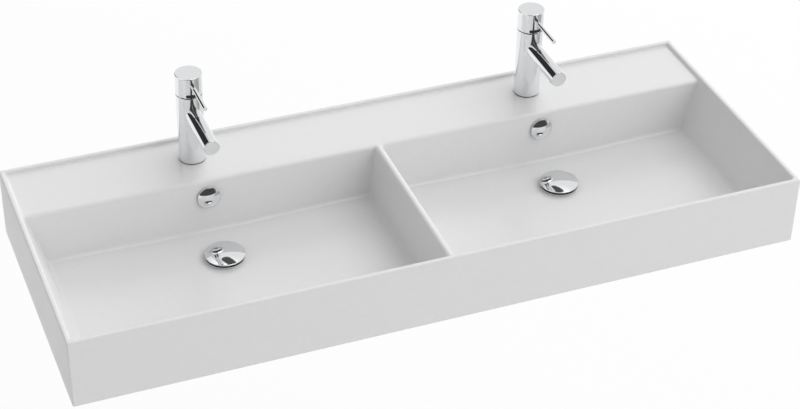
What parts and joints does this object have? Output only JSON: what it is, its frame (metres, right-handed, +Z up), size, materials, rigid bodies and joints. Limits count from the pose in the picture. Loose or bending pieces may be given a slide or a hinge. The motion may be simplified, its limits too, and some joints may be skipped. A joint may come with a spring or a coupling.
{
  "type": "double washbasin",
  "caption": "Wide rectangular glazed ceramic double washbasin with a raised rim, a tap deck, sloping bowls, single-lever pin taps, push-open wastes and overflow covers.",
  "frame": {"origin": "on the wall plane at the back of the basin, midway along it, level with the wall bolts", "axes": "+X along the wall to the right as seen from the room, +Y into the wall, +Z up; the front of the basin faces -Y"},
  "size_m": [1.2, 0.46, 0.327],
  "materials": {
    "white_glaze": "white sanitary glaze, glossy",
    "chrome": "polished chrome plate",
    "brass": "bare turned brass",
    "steel": "plain steel",
    "black_rubber": "matt black rubber",
    "white_plastic": "white moulded plastic",
    "grey_plastic": "grey moulded plastic",
    "disc_ceramic": "lapped ceramic"
  },
  "bodies": {
    "base": {"basin": "white_glaze", "left_tap_body": "chrome", "left_spout": "chrome", "left_spout_end_cap": "chrome", "left_aerator_shell": "chrome", "left_aerator_screen": "grey_plastic", "left_cartridge_case": "white_plastic", "left_fixed_disc": "disc_ceramic", "left_cartridge_nut": "brass", "left_base_seal": "black_rubber", "left_deck_washer": "black_rubber", "left_clamp_plate": "steel", "left_waste_body": "chrome", "left_flange_gasket": "black_rubber", "left_boss_gasket": "black_rubber", "left_lock_nut": "brass", "left_plug_catch": "brass", "left_overflow_cover": "chrome", "left_overflow_clip": "white_plastic", "right_tap_body": "chrome", "right_spout": "chrome", "right_spout_end_cap": "chrome", "right_aerator_shell": "chrome", "right_aerator_screen": "grey_plastic", "right_cartridge_case": "white_plastic", "right_fixed_disc": "disc_ceramic", "right_cartridge_nut": "brass", "right_base_seal": "black_rubber", "right_deck_washer": "black_rubber", "right_clamp_plate": "steel", "right_waste_body": "chrome", "right_flange_gasket": "black_rubber", "right_boss_gasket": "black_rubber", "right_lock_nut": "brass", "right_plug_catch": "brass", "right_overflow_cover": "chrome", "right_overflow_clip": "white_plastic", "port_seals": "black_rubber", "fixing_studs": "steel", "fixing_nuts": "brass"},
    "left_rotor": {"left_swivel_carrier": "white_plastic", "left_stem_pivot_pin": "steel"},
    "left_lever": {"left_lever_head": "chrome", "left_lever_pin": "chrome", "left_grub_screw": "steel", "left_screw_cover": "chrome", "left_lever_stem": "brass"},
    "left_disc": {"left_moving_disc": "disc_ceramic"},
    "left_plug": {"left_waste_cap": "chrome", "left_cap_seal": "black_rubber"},
    "right_rotor": {"right_swivel_carrier": "white_plastic", "right_stem_pivot_pin": "steel"},
    "right_lever": {"right_lever_head": "chrome", "right_lever_pin": "chrome", "right_grub_screw": "steel", "right_screw_cover": "chrome", "right_lever_stem": "brass"},
    "right_disc": {"right_moving_disc": "disc_ceramic"},
    "right_plug": {"right_waste_cap": "chrome", "right_cap_seal": "black_rubber"}
  },
  "joints": [
    {"name": "left_lever_swing", "type": "hinge", "parent": "base", "child": "left_rotor", "pos_m": [-0.296, -0.06, 0.16205], "axis": [0, 0, 1], "range_deg": [-45, 45]},
    {"name": "left_lever_lift", "type": "hinge", "parent": "left_rotor", "child": "left_lever", "pos_m": [-0.296, -0.06, 0.16205], "axis": [-1, 0, 0], "range_deg": [0, 20]},
    {"name": "left_disc_slide", "type": "slide", "parent": "left_rotor", "child": "left_disc", "axis": [0, -1, 0], "range_m": [0, 0.0038]},
    {"name": "left_plug_slide", "type": "slide", "parent": "base", "child": "left_plug", "axis": [0, 0, 1], "range_m": [-0.0028, 0.003]},
    {"name": "right_lever_swing", "type": "hinge", "parent": "base", "child": "right_rotor", "pos_m": [0.296, -0.06, 0.16205], "axis": [0, 0, 1], "range_deg": [-45, 45]},
    {"name": "right_lever_lift", "type": "hinge", "parent": "right_rotor", "child": "right_lever", "pos_m": [0.296, -0.06, 0.16205], "axis": [-1, 0, 0], "range_deg": [0, 20]},
    {"name": "right_disc_slide", "type": "slide", "parent": "right_rotor", "child": "right_disc", "axis": [0, -1, 0], "range_m": [0, 0.0038]},
    {"name": "right_plug_slide", "type": "slide", "parent": "base", "child": "right_plug", "axis": [0, 0, 1], "range_m": [-0.0028, 0.003]}
  ],
  "couplings": [
    {"joint": "left_disc_slide", "follows": "left_lever_lift", "m_per_rad": 0.010778},
    {"joint": "right_disc_slide", "follows": "right_lever_lift", "m_per_rad": 0.010778}
  ]
}
